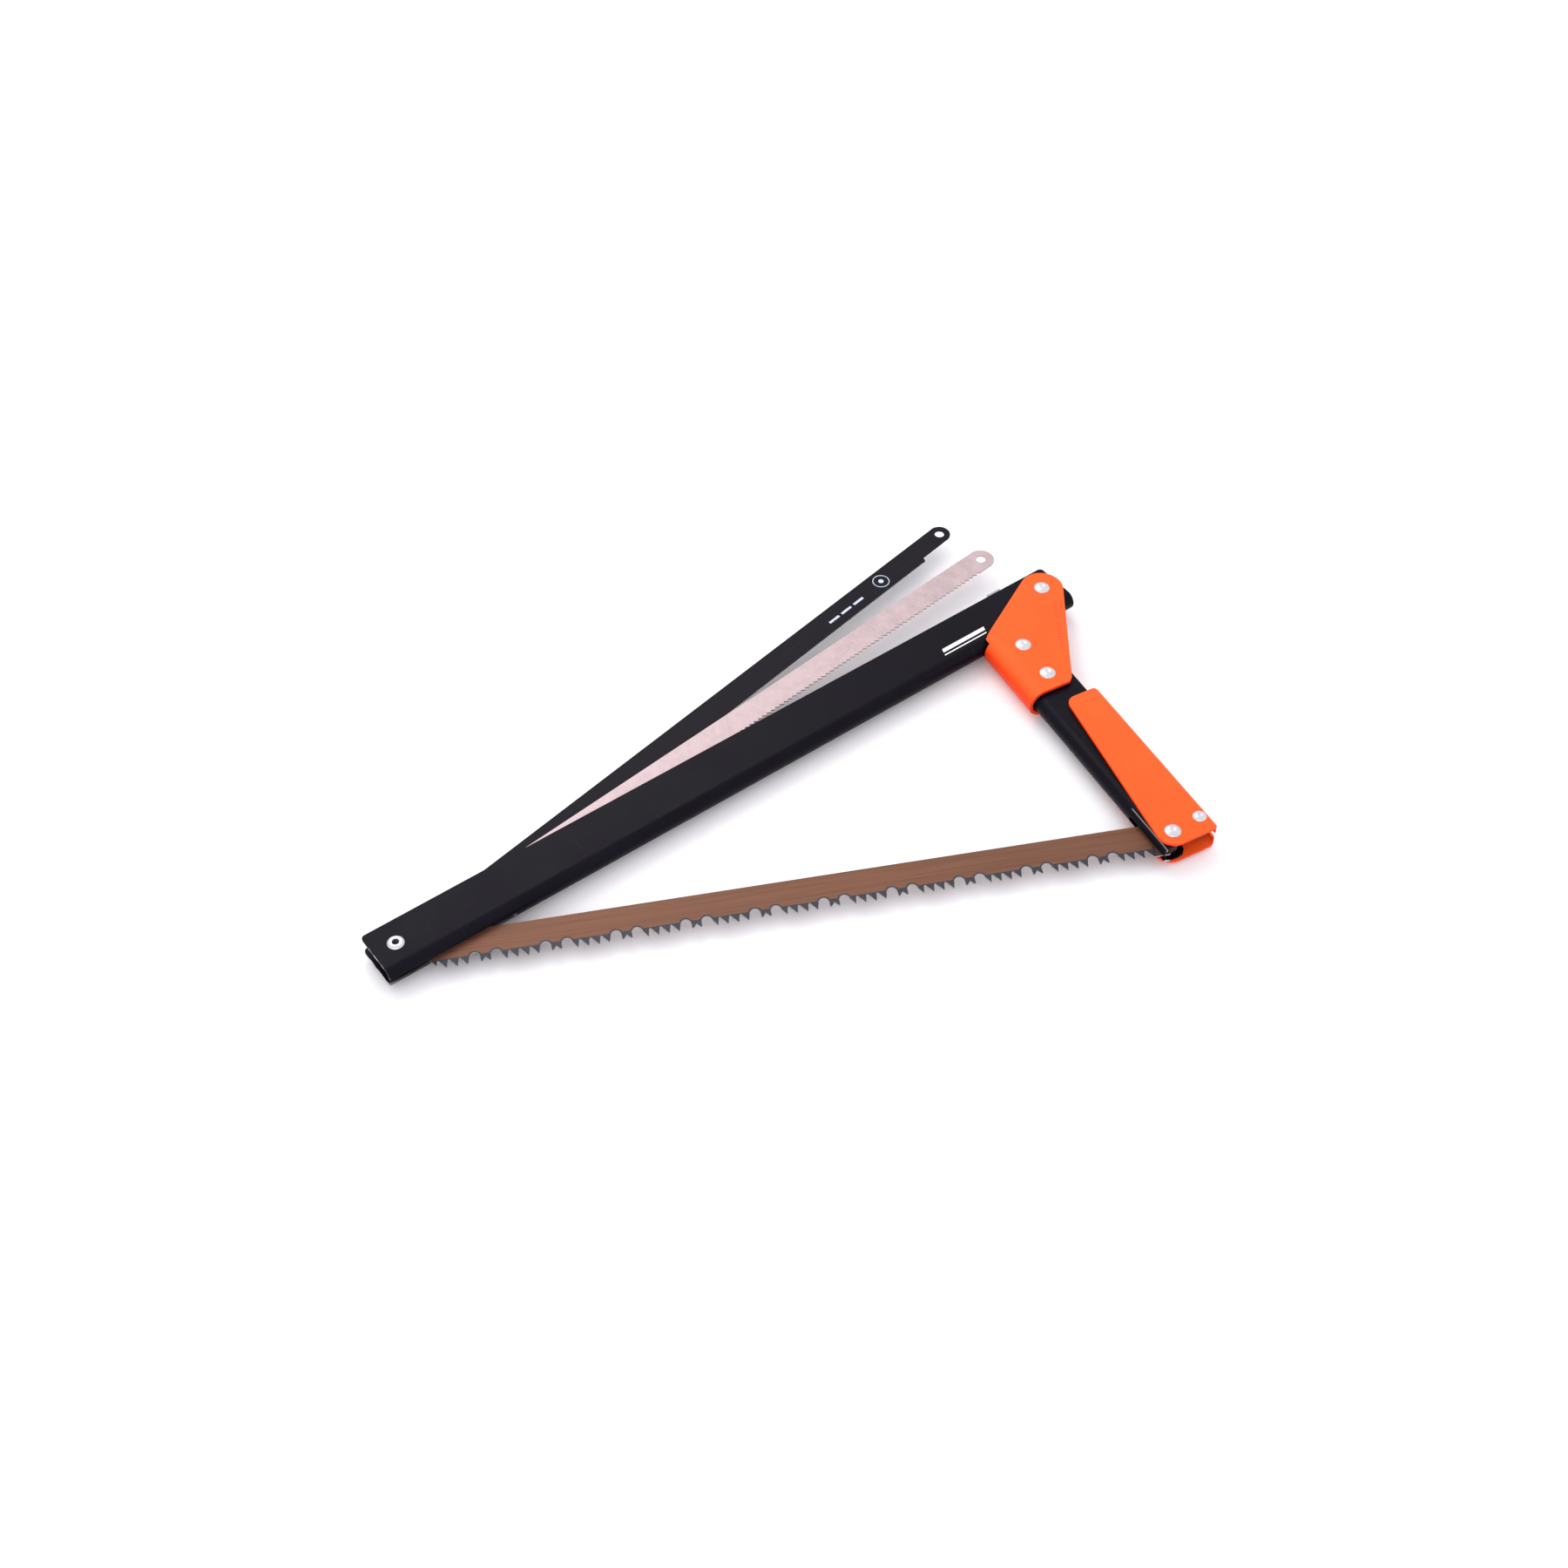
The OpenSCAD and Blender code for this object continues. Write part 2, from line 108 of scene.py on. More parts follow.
class SawColours(bpy.types.PropertyGroup):
    """Colours of the saw's finishes."""
    arm_black: FloatVectorProperty(
        name="Arm black", description="Satin black powder coat of both arms", subtype='COLOR',
        size=4, default=(0.0021, 0.0012, 0.0047, 1), min=0, max=1)
    orange: FloatVectorProperty(
        name="Orange", description="Satin orange powder coat of bracket and lever", subtype='COLOR',
        size=4, default=(0.86, 0.098, 0.012, 1), min=0, max=1)
    bronze: FloatVectorProperty(
        name="Bronze", description="Tempered body of the wood blade", subtype='COLOR',
        size=4, default=(0.162, 0.070, 0.040, 1), min=0, max=1)
    slate: FloatVectorProperty(
        name="Slate", description="Hardened band along the wood blade's teeth", subtype='COLOR',
        size=4, default=(0.030, 0.031, 0.039, 1), min=0, max=1)
    steel: FloatVectorProperty(
        name="Blade steel", description="Bare steel of the bone blade", subtype='COLOR',
        size=4, default=(0.485, 0.380, 0.388, 1), min=0, max=1)
    dark_steel: FloatVectorProperty(
        name="Dark steel", description="Black finish of the metal blade", subtype='COLOR',
        size=4, default=(0.0046, 0.0034, 0.0068, 1), min=0, max=1)
    zinc: FloatVectorProperty(
        name="Zinc", description="Bright plating of pin, rivets and stud", subtype='COLOR',
        size=4, default=(0.66, 0.655, 0.67, 1), min=0, max=1)


class SawStage(bpy.types.PropertyGroup):
    """Floor and lights round the saw."""
    floor_tone: FloatVectorProperty(
        name="Floor", description="Colour of the plain floor", subtype='COLOR',
        size=4, default=(0.93, 0.925, 0.94, 1), min=0, max=1)
    daylight: FloatProperty(
        name="Daylight", description="Strength of the even light all round",
        default=1.22, min=0, max=5)
    key: FloatProperty(
        name="Key light", description="Power of the large light above and behind, in watts",
        default=4.4, min=0, max=100)
    fill: FloatProperty(
        name="Fill light", description="Power of the light on the near side, in watts",
        default=1.5, min=0, max=100)


# ---- Places taken from the frame ----

def middle(node):
    lo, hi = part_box(node)
    return (lo + hi) / 2


KNEE = middle("knee_rivet_top")
STUD = middle("hook_stud")
GRIP_TURN = math.atan2(*(middle("bracket_rivet_lower") - middle("bracket_rivet_upper")).yx)
WOOD_TURN = math.atan2(STUD.y, STUD.x)
BONE_TURN = math.radians(5.9)
METAL_TURN = math.radians(10.4)

# The wood blade's tooth pattern, along the blade from the front pin, in mm
PERIOD = 36.65
FIRST_GULLET = 1.9
GULLET_STEP = 11.1
GULLET_CENTRE = -11.3

# The metal blade's edge, from the front pin, in mm
FINE_EDGE = -9.3
FINE_FROM = 26
BLADE_LENGTH = 430


# ---- Mesh work ----

def select_none():
    if bpy.context.mode != 'OBJECT':
        bpy.ops.object.mode_set(mode='OBJECT')
    bpy.ops.object.select_all(action='DESELECT')


def only(obj):
    """Deselects everything, then selects obj and makes it active."""
    select_none()
    obj.select_set(True)
    bpy.context.view_layer.objects.active = obj


def edit(obj):
    """Opens obj in edit mode, point by point."""
    only(obj)
    bpy.ops.object.mode_set(mode='EDIT')
    bpy.ops.mesh.select_mode(type='VERT')


def done():
    bpy.ops.object.mode_set(mode='OBJECT')


def apply(obj, kind, **values):
    """Gives obj a modifier of this kind with these settings, and applies it."""
    only(obj)
    m = obj.modifiers.new(kind.title(), kind)
    for key, value in values.items():
        setattr(m, key, value)
    bpy.ops.object.modifier_apply(modifier=m.name)


def smooth(obj, degrees=32):
    only(obj)
    bpy.ops.object.shade_smooth_by_angle(angle=math.radians(degrees))


def sheet_copy(node, name):
    """A clean copy of a CAD node: its loose triangles merged and its flat faces made whole."""
    source = frame["nodes"][node]
    only(source)
    bpy.ops.object.duplicate()
    piece = bpy.context.view_layer.objects.active
    piece.name = name
    piece.data.name = name
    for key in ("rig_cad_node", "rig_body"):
        if key in piece:
            del piece[key]
    piece.parent = None
    piece.data.materials.clear()
    edit(piece)
    bpy.ops.mesh.customdata_custom_splitnormals_clear()
    bpy.ops.mesh.select_all(action='SELECT')
    bpy.ops.mesh.remove_doubles(threshold=2e-6)
    bpy.ops.mesh.dissolve_limited(angle_limit=math.radians(0.6))
    done()
    return piece


def round_edges(piece, radius, segments=2):
    apply(piece, 'BEVEL', width=radius, segments=segments, limit_method='ANGLE',
          angle_limit=math.radians(40), use_clamp_overlap=True, harden_normals=False)
    smooth(piece, 40)
    apply(piece, 'WEIGHTED_NORMAL', weight=90, keep_sharp=True)


def finish_piece(piece, body, material, node):
    """Gives a piece its material and body, in place of the CAD node."""
    piece.data.materials.clear()
    piece.data.materials.append(material)
    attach(piece, body)
    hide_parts(node)


def turned(name, at, profile, sides=48, bored=False):
    """A turned piece about a vertical axis. The profile is a list of (radius, height) in mm,
    from its first ring to its last; a bored piece joins the last ring to the first."""
    select_none()
    r0, z0 = profile[0]
    bpy.ops.mesh.primitive_circle_add(vertices=sides, radius=r0 * MM, fill_type='NOTHING',
                                      location=(at.x, at.y, z0 * MM))
    piece = bpy.context.view_layer.objects.active
    piece.name = name
    piece.data.name = name
    only(piece)
    bpy.ops.object.transform_apply(location=True, rotation=True, scale=True)
    edit(piece)
    bpy.ops.mesh.select_all(action='SELECT')
    if not bored:
        bpy.ops.mesh.edge_face_add()
        bpy.ops.mesh.select_all(action='SELECT')
    for (r1, z1), (r2, z2) in zip(profile, profile[1:]):
        bpy.ops.mesh.extrude_edges_move(
            TRANSFORM_OT_translate={"value": (0, 0, (z2 - z1) * MM)})
        if r2 != r1:
            bpy.ops.transform.resize(value=(r2 / r1, r2 / r1, 1),
                                     center_override=(at.x, at.y, z2 * MM))
    if bored:
        bpy.ops.mesh.select_all(action='SELECT')
        bpy.ops.mesh.remove_doubles(threshold=1e-6)
    else:
        bpy.ops.mesh.edge_face_add()
    bpy.ops.mesh.select_all(action='SELECT')
    bpy.ops.mesh.normals_make_consistent(inside=False)
    done()
    smooth(piece, 35)
    return piece


# ---- Material wiring ----

class Wiring:
    """Adds nodes to one tree, and joins them as they are made."""

    def __init__(self, tree):
        self.tree = tree
        self.count = 0

    def node(self, kind, **values):
        n = self.tree.nodes.new(kind)
        n.location = (180 * (self.count % 12) - 1600, -220 * (self.count // 12))
        self.count += 1
        for key, value in values.items():
            setattr(n, key, value)
        return n

    def feed(self, socket, value):
        if isinstance(value, bpy.types.NodeSocket):
            self.tree.links.new(value, socket)
        else:
            socket.default_value = value

    def math(self, operation, *values):
        n = self.node('ShaderNodeMath', operation=operation)
        for i, value in enumerate(values):
            self.feed(n.inputs[i], value)
        return n.outputs[0]

    def split(self, vector):
        n = self.node('ShaderNodeSeparateXYZ')
        self.feed(n.inputs[0], vector)
        return n.outputs[0], n.outputs[1], n.outputs[2]

    def place(self, vector, location=(0, 0, 0), turn=0.0, kind='TEXTURE', scale=(1, 1, 1)):
        n = self.node('ShaderNodeMapping', vector_type=kind)
        self.feed(n.inputs["Vector"], vector)
        n.inputs["Location"].default_value = location
        n.inputs["Rotation"].default_value = (0, 0, turn)
        n.inputs["Scale"].default_value = scale
        return n.outputs[0]

    def noise(self, vector, scale, detail=3.0, roughness=0.5):
        n = self.node('ShaderNodeTexNoise')
        self.feed(n.inputs["Vector"], vector)
        n.inputs["Scale"].default_value = scale
        n.inputs["Detail"].default_value = detail
        n.inputs["Roughness"].default_value = roughness
        return n.outputs["Fac"]

    def ramp(self, value, low, high, to_low=0.0, to_high=1.0, smooth_step=True):
        n = self.node('ShaderNodeMapRange',
                      interpolation_type='SMOOTHSTEP' if smooth_step else 'LINEAR')
        self.feed(n.inputs["Value"], value)
        n.inputs["From Min"].default_value = low
        n.inputs["From Max"].default_value = high
        n.inputs["To Min"].default_value = to_low
        n.inputs["To Max"].default_value = to_high
        return n.outputs[0]

    def mix(self, factor, a, b):
        n = self.node('ShaderNodeMix', data_type='RGBA')
        self.feed(n.inputs["Factor"], factor)
        for socket, value in ((n.inputs[6], a), (n.inputs[7], b)):
            linked = isinstance(value, bpy.types.NodeSocket)
            self.feed(socket, value if linked else tuple(value))
        return n.outputs[2]

    def bump(self, height, strength, distance):
        n = self.node('ShaderNodeBump')
        self.feed(n.inputs["Height"], height)
        n.inputs["Strength"].default_value = strength
        n.inputs["Distance"].default_value = distance
        return n.outputs[0]

    def inside(self, value, low, high, soft):
        """1 where low < value < high, with soft sides."""
        return self.math('MULTIPLY', self.ramp(value, low - soft, low + soft),
                         self.ramp(value, high - soft, high + soft, 1.0, 0.0))

    def group(self, tree, **values):
        n = self.node('ShaderNodeGroup')
        n.node_tree = tree
        for key, value in values.items():
            self.feed(n.inputs[key], value)
        return n.outputs


def new_group(name, inputs, outputs):
    tree = bpy.data.node_groups.new(name, 'ShaderNodeTree')
    for label, kind, default in inputs:
        s = tree.interface.new_socket(name=label, in_out='INPUT', socket_type=kind)
        if default is not None:
            s.default_value = default
    for label, kind in outputs:
        tree.interface.new_socket(name=label, in_out='OUTPUT', socket_type=kind)
    w = Wiring(tree)
    return tree, w, w.node('NodeGroupInput').outputs, w.node('NodeGroupOutput').inputs


def powder_coat_group():
    """Orange peel, broad unevenness and settled dust of a powder coat."""
    tree, w, i, o = new_group(
        "Powder coat", [("Vector", 'NodeSocketVector', None), ("Dust", 'NodeSocketFloat', 0.3)],
        [("Height", 'NodeSocketFloat'), ("Tone", 'NodeSocketFloat'), ("Dust", 'NodeSocketFloat')])
    peel = w.noise(i["Vector"], 1500, 2.0, 0.55)
    broad = w.noise(i["Vector"], 28, 3.0, 0.6)
    specks = w.noise(i["Vector"], 2600, 1.0, 0.4)
    w.feed(o["Height"], peel)
    w.feed(o["Tone"], w.ramp(broad, 0.3, 0.7))
    speck = w.ramp(specks, 0.74, 0.80)
    w.feed(o["Dust"], w.math('MULTIPLY', w.math('MULTIPLY', speck, w.ramp(broad, 0.4, 0.65)),
                             i["Dust"]))
    return tree


def rolled_grain_group():
    """Fine lines along the blade, with a faint mottle across them."""
    tree, w, i, o = new_group(
        "Rolled grain", [("Vector", 'NodeSocketVector', None)],
        [("Lines", 'NodeSocketFloat'), ("Mottle", 'NodeSocketFloat')])
    fine = w.noise(w.place(i["Vector"], kind='POINT', scale=(14, 900, 60)), 1.0, 4.0, 0.65)
    wide = w.noise(w.place(i["Vector"], kind='POINT', scale=(5, 260, 60)), 1.0, 2.0, 0.5)
    w.feed(o["Lines"], w.math('ADD', w.math('MULTIPLY', fine, 0.65),
                              w.math('MULTIPLY', wide, 0.35)))
    w.feed(o["Mottle"], w.noise(i["Vector"], 130, 4.0, 0.6))
    return tree


def handled_group():
    """Thin random scratches from handling."""
    tree, w, i, o = new_group(
        "Handling scratches", [("Vector", 'NodeSocketVector', None)],
        [("Scratches", 'NodeSocketFloat')])
    one = w.noise(w.place(i["Vector"], turn=0.5, kind='POINT', scale=(30, 1400, 30)), 1.0, 2.0, 0.5)
    two = w.noise(w.place(i["Vector"], turn=-0.9, kind='POINT', scale=(1100, 26, 30)),
                  1.0, 2.0, 0.5)
    w.feed(o["Scratches"], w.math('MAXIMUM', w.ramp(one, 0.70, 0.76), w.ramp(two, 0.71, 0.77)))
    return tree


def toned(colour, share):
    """The colour, lighter or darker by this share, and never over full."""
    return tuple(min(1, v * share) for v in colour[:3]) + (1,)


def new_material(name):
    m = bpy.data.materials.new(name)
    m.use_nodes = True
    m.node_tree.nodes.clear()
    w = Wiring(m.node_tree)
    out = w.node('ShaderNodeOutputMaterial')
    shader = w.node('ShaderNodeBsdfPrincipled')
    w.feed(out.inputs["Surface"], shader.outputs[0])
    coords = w.node('ShaderNodeTexCoord')
    return m, w, shader.inputs, coords.outputs


GROUPS = {}
FINISHES = {}


def cut_mask(w, local, facing, back, fold, slot_from, slot_to, end_at, end_way):
    """Bare metal on a channel: the open edges and the cut sides of the blade slot."""
    x, y, z = w.split(local)
    nx, ny, nz = w.split(facing)
    edge = w.math('MULTIPLY', w.ramp(y, (back - 0.35) * MM, (back - 0.15) * MM),
                  w.ramp(ny, 0.75, 0.95))
    in_slot = w.math('MULTIPLY', w.inside(z, -3.4 * MM, 1.6 * MM, 0.1 * MM),
                     w.inside(x, slot_from * MM, slot_to * MM, 0.1 * MM))
    side = w.math('MULTIPLY', w.ramp(w.math('ABSOLUTE', ny), 0.5, 0.7, 1.0, 0.0),
                  w.ramp(y, (fold + 2.4) * MM, (fold + 2.6) * MM, 1.0, 0.0))
    end = w.math('MULTIPLY', w.ramp(x, end_at * MM, (end_at + end_way * 0.3) * MM, 0.0, 1.0),
                 w.ramp(w.math('MULTIPLY', nx, end_way), 0.75, 0.95))
    worn = w.ramp(w.noise(local, 160, 2.0), 0.42, 0.58)
    return w.math('MAXIMUM', w.math('MAXIMUM', edge, w.math('MULTIPLY', end, worn)),
                  w.math('MULTIPLY', in_slot, side))


def black_paint(name, origin, turn, back, fold, slot, end, marked):
    c = bpy.context.scene.saw_colours
    m, w, s, coords = new_material(name)
    obj = coords["Object"]
    local = w.place(obj, location=origin, turn=turn)
    facing = w.place(coords["Normal"], turn=turn)
    coat = w.group(GROUPS["coat"], Vector=obj, Dust=0.10)
    scratches = w.group(GROUPS["handled"], Vector=obj)["Scratches"]
    bare = cut_mask(w, local, facing, back, fold, *slot, *end)
    darker = toned(c.arm_black, 0.8)
    lighter = toned(c.arm_black, 1.22)
    colour = w.mix(coat["Tone"], darker, lighter)
    colour = w.mix(w.math('MULTIPLY', scratches, 0.05), colour, (0.20, 0.19, 0.2, 1))
    colour = w.mix(coat["Dust"], colour, (0.5, 0.48, 0.47, 1))
    if marked:
        colour = w.mix(arm_mark(w, local, facing), colour, (0.88, 0.88, 0.88, 1))
    colour = w.mix(bare, colour, (0.62, 0.60, 0.60, 1))
    w.feed(s["Base Color"], colour)
    w.feed(s["Metallic"], bare)
    rough = w.ramp(coat["Tone"], 0, 1, 0.36, 0.45, False)
    w.feed(s["Roughness"], w.math('ADD', rough, w.math('MULTIPLY', scratches, 0.08)))
    s["Specular IOR Level"].default_value = 0.095
    w.feed(s["Normal"], w.bump(coat["Height"], 0.10, 0.00006))
    return m


def arm_mark(w, local, facing):
    """Two plain white printed bars on the upper face of the long arm."""
    x, y, z = w.split(local)
    up = w.ramp(w.split(facing)[2], 0.9, 0.98)
    run = w.math('ADD', x, w.math('MULTIPLY', y, -0.35))
    wide = w.math('MULTIPLY', w.inside(run, 0.3595, 0.3905, 0.00008),
                  w.inside(y, -0.0062, -0.0036, 0.00008))
    thin = w.math('MULTIPLY', w.inside(run, 0.3595, 0.3905, 0.00008),
                  w.inside(y, -0.0086, -0.0078, 0.00008))
    print_wear = w.ramp(w.noise(local, 900, 3.0), 0.28, 0.36)
    return w.math('MULTIPLY', w.math('MULTIPLY', up, print_wear), w.math('MAXIMUM', wide, thin))


def orange_paint(name, engraved):
    c = bpy.context.scene.saw_colours
    m, w, s, coords = new_material(name)
    obj = coords["Object"]
    local = w.place(obj, location=KNEE, turn=GRIP_TURN)
    nx, ny, nz = w.split(coords["Normal"])
    coat = w.group(GROUPS["coat"], Vector=obj, Dust=0.05)
    scratches = w.group(GROUPS["handled"], Vector=obj)["Scratches"]
    # Painted shade: faces that turn away from straight up or down, the sides and flanges, are mixed
    # toward a darker orange
    flat = w.ramp(w.math('ABSOLUTE', nz), 0.15, 0.9)
    shaded_orange = (c.orange[0] * 0.95, c.orange[1] * 0.45, c.orange[2] * 0.35, 1)
    light = (c.orange[0], c.orange[1] * 1.12, c.orange[2] * 1.25, 1)
    colour = w.mix(coat["Tone"], c.orange, light)
    colour = w.mix(flat, shaded_orange, colour)
    colour = w.mix(w.math('MULTIPLY', scratches, 0.06), colour, (1.0, 0.42, 0.2, 1))
    height = w.math('MULTIPLY', coat["Height"], 0.12)
    if engraved:
        ticks = engraved_row(w, local, coords["Normal"])
        height = w.math('SUBTRACT', height, ticks)
        # Painted shade in the stamped ticks: they are mixed halfway toward the same darker orange
        colour = w.mix(w.math('MULTIPLY', ticks, 0.5), colour, shaded_orange)
    w.feed(s["Base Color"], colour)
    rough = w.ramp(coat["Tone"], 0, 1, 0.40, 0.48, False)
    w.feed(s["Roughness"], w.math('ADD', rough, w.math('MULTIPLY', scratches, 0.06)))
    s["Specular IOR Level"].default_value = 0.16
    w.feed(s["Normal"], w.bump(height, 0.5, 0.00012))
    return m


def engraved_row(w, local, normal):
    """A row of short plain ticks stamped along the bracket's outer edge."""
    x, y, z = w.split(local)
    up = w.ramp(w.split(normal)[2], 0.9, 0.98)
    edge = w.math('ADD', y, w.math('MULTIPLY', x, 0.50))
    cell = w.math('FRACT', w.math('MULTIPLY', x, 1 / 0.0024))
    bars = w.inside(cell, 0.22, 0.58, 0.08)
    row = w.math('MULTIPLY', w.inside(edge, 0.0052, 0.0082, 0.0002),
                 w.inside(x, 0.013, 0.049, 0.0002))
    gap = w.ramp(w.math('ABSOLUTE', w.math('SUBTRACT', x, 0.027)), 0.0012, 0.0015)
    return w.math('MULTIPLY', w.math('MULTIPLY', bars, row), w.math('MULTIPLY', up, gap))


def bright_metal(name, colour, rough, bump=0.15):
    m, w, s, coords = new_material(name)
    obj = coords["Object"]
    scratches = w.group(GROUPS["handled"], Vector=obj)["Scratches"]
    cloudy = w.noise(obj, 420, 4.0, 0.6)
    darker = toned(colour, 0.86)
    w.feed(s["Base Color"], w.mix(w.ramp(cloudy, 0.3, 0.7), darker, tuple(colour)))
    s["Metallic"].default_value = 1.0
    clouds = w.ramp(cloudy, 0.25, 0.75, rough - 0.05, rough + 0.07, False)
    w.feed(s["Roughness"], w.math('ADD', clouds, w.math('MULTIPLY', scratches, 0.08)))
    w.feed(s["Normal"], w.bump(w.noise(obj, 1800, 3.0), bump, 0.00008))
    return m


def wood_steel():
    c = bpy.context.scene.saw_colours
    m, w, s, coords = new_material("Bronze tempered steel")
    local = w.place(coords["Object"], turn=WOOD_TURN)
    x, y, z = w.split(local)
    nx, ny, nz = w.split(coords["Normal"])
    grain = w.group(GROUPS["grain"], Vector=local)
    # The hardened band follows the tooth line and arches over each round gullet
    period = PERIOD * MM
    ripple = w.math('MULTIPLY', w.math('SUBTRACT', w.noise(local, 700, 2.0), 0.5), 0.0006)
    band = w.ramp(w.math('ADD', y, ripple), -10.0 * MM, -9.8 * MM, 1.0, 0.0)
    for gullet in (FIRST_GULLET, FIRST_GULLET + GULLET_STEP):
        along = w.math('ADD', x, 100.5 * period - gullet * MM)
        away = w.math('SUBTRACT', w.math('MODULO', along, period), period / 2)
        up = w.math('SUBTRACT', y, GULLET_CENTRE * MM)
        reach = w.math('SQRT', w.math('ADD', w.math('MULTIPLY', away, away),
                                      w.math('MULTIPLY', up, up)))
        arch = w.ramp(w.math('ADD', reach, ripple), 3.65 * MM, 3.85 * MM, 1.0, 0.0)
        band = w.math('MAXIMUM', band, arch)
    band = w.math('MULTIPLY', band, w.inside(x, 15 * MM, 403 * MM, 0.6 * MM))
    lighter = toned(c.bronze, 1.16)
    darker = toned(c.bronze, 0.82)
    body = w.mix(w.ramp(grain["Lines"], 0.36, 0.64), darker, lighter)
    body = w.mix(w.ramp(grain["Mottle"], 0.35, 0.7, 0.0, 0.25), body, c.bronze)
    slate_light = toned(c.slate, 1.9)
    hard = w.mix(w.ramp(w.noise(local, 1500, 4.0, 0.7), 0.4, 0.72), c.slate, slate_light)
    colour = w.mix(band, body, hard)
    side = w.ramp(w.math('ABSOLUTE', nz), 0.3, 0.6, 1.0, 0.0)
    ground = w.math('MULTIPLY', side, w.ramp(y, -6.9 * MM, -6.7 * MM, 1.0, 0.0))
    colour = w.mix(w.math('MULTIPLY', ground, 0.8), colour, (0.50, 0.49, 0.51, 1))
    w.feed(s["Base Color"], colour)
    w.feed(s["Metallic"], w.math('ADD', 0.35, w.math('MULTIPLY', ground, 0.6)))
    s["Specular IOR Level"].default_value = 0.25
    w.feed(s["Roughness"], w.ramp(grain["Lines"], 0.3, 0.7, 0.40, 0.52, False))
    w.feed(s["Normal"], w.bump(grain["Lines"], 0.16, 0.00006))
    return m


def bone_steel():
    c = bpy.context.scene.saw_colours
    m, w, s, coords = new_material("Bare blade steel")
    local = w.place(coords["Object"], turn=BONE_TURN)
    grain = w.group(GROUPS["grain"], Vector=local)
    across = w.noise(w.place(local, turn=0.55, kind='POINT', scale=(1500, 240, 60)), 1.0, 4.0, 0.7)
    scratches = w.group(GROUPS["handled"], Vector=local)["Scratches"]
    tone = w.math('ADD', w.math('MULTIPLY', grain["Mottle"], 0.4), w.math('MULTIPLY', across, 0.6))
    darker = toned(c.steel, 0.84)
    lighter = toned(c.steel, 1.10)
    w.feed(s["Base Color"], w.mix(w.ramp(tone, 0.34, 0.66), darker, lighter))
    s["Metallic"].default_value = 0.75
    w.feed(s["Roughness"], w.math('ADD', w.ramp(tone, 0.3, 0.7, 0.44, 0.56, False),
                                  w.math('MULTIPLY', scratches, -0.08)))
    w.feed(s["Normal"], w.bump(tone, 0.25, 0.00008))
    return m


def metal_blade_steel():
    c = bpy.context.scene.saw_colours
    m, w, s, coords = new_material("Black blade steel")
    local = w.place(coords["Object"], turn=METAL_TURN)
    x, y, z = w.split(local)
    nz = w.split(coords["Normal"])[2]
    grain = w.group(GROUPS["grain"], Vector=local)
    scratches = w.group(GROUPS["handled"], Vector=local)["Scratches"]
    darker = toned(c.dark_steel, 0.85)
    lighter = toned(c.dark_steel, 1.3)
    colour = w.mix(w.ramp(grain["Lines"], 0.35, 0.65), darker, lighter)
    colour = w.mix(w.math('MULTIPLY', scratches, 0.10), colour, (0.25, 0.25, 0.26, 1))
    # Printed marks: a plain ring and three plain bars
    up = w.ramp(nz, 0.9, 0.98)
    dx, dy = w.math('SUBTRACT', x, 374.6 * MM), w.math('SUBTRACT', y, -1.4 * MM)
    reach = w.math('SQRT', w.math('ADD', w.math('MULTIPLY', dx, dx), w.math('MULTIPLY', dy, dy)))
    ring = w.math('MAXIMUM', w.inside(reach, 4.6 * MM, 5.1 * MM, 0.06 * MM),
                  w.ramp(reach, 1.5 * MM, 1.7 * MM, 1.0, 0.0))
    cell = w.math('FRACT', w.math('MULTIPLY', w.math('SUBTRACT', x, 327 * MM), 1 / 0.0105))
    bars = w.math('MULTIPLY', w.inside(cell, 0.06, 0.84, 0.01),
                  w.math('MULTIPLY', w.inside(x, 327 * MM, 358 * MM, 0.06 * MM),
                         w.inside(y, -3.6 * MM, -2.0 * MM, 0.06 * MM)))
    ink = w.math('MULTIPLY', up, w.math('MAXIMUM', ring, bars))
    ink = w.math('MULTIPLY', ink, w.ramp(w.noise(local, 1100, 3.0), 0.30, 0.40))
    colour = w.mix(ink, colour, (0.55, 0.62, 0.74, 1))
    # Bright cutting edges of the fine teeth
    tips = w.math('MULTIPLY', w.ramp(y, -9.1 * MM, -8.8 * MM, 1.0, 0.0),
                  w.ramp(w.math('ABSOLUTE', nz), 0.3, 0.6, 1.0, 0.0))
    colour = w.mix(w.math('MULTIPLY', tips, 0.6), colour, (0.35, 0.34, 0.35, 1))
    w.feed(s["Base Color"], colour)
    s["Specular IOR Level"].default_value = 0.11
    w.feed(s["Roughness"], w.ramp(grain["Lines"], 0.3, 0.7, 0.42, 0.54, False))
    w.feed(s["Normal"], w.bump(grain["Lines"], 0.12, 0.00006))
    return m


def floor_paint():
    st = bpy.context.scene.saw_stage
    m, w, s, coords = new_material("Plain floor")
    broad = w.noise(coords["Object"], 1.5, 2.0)
    lighter = toned(st.floor_tone, 1.012)
    w.feed(s["Base Color"], w.mix(broad, st.floor_tone, lighter))
    s["Roughness"].default_value = 0.75
    s["Specular IOR Level"].default_value = 0.25
    return m


# ---- Operators ----

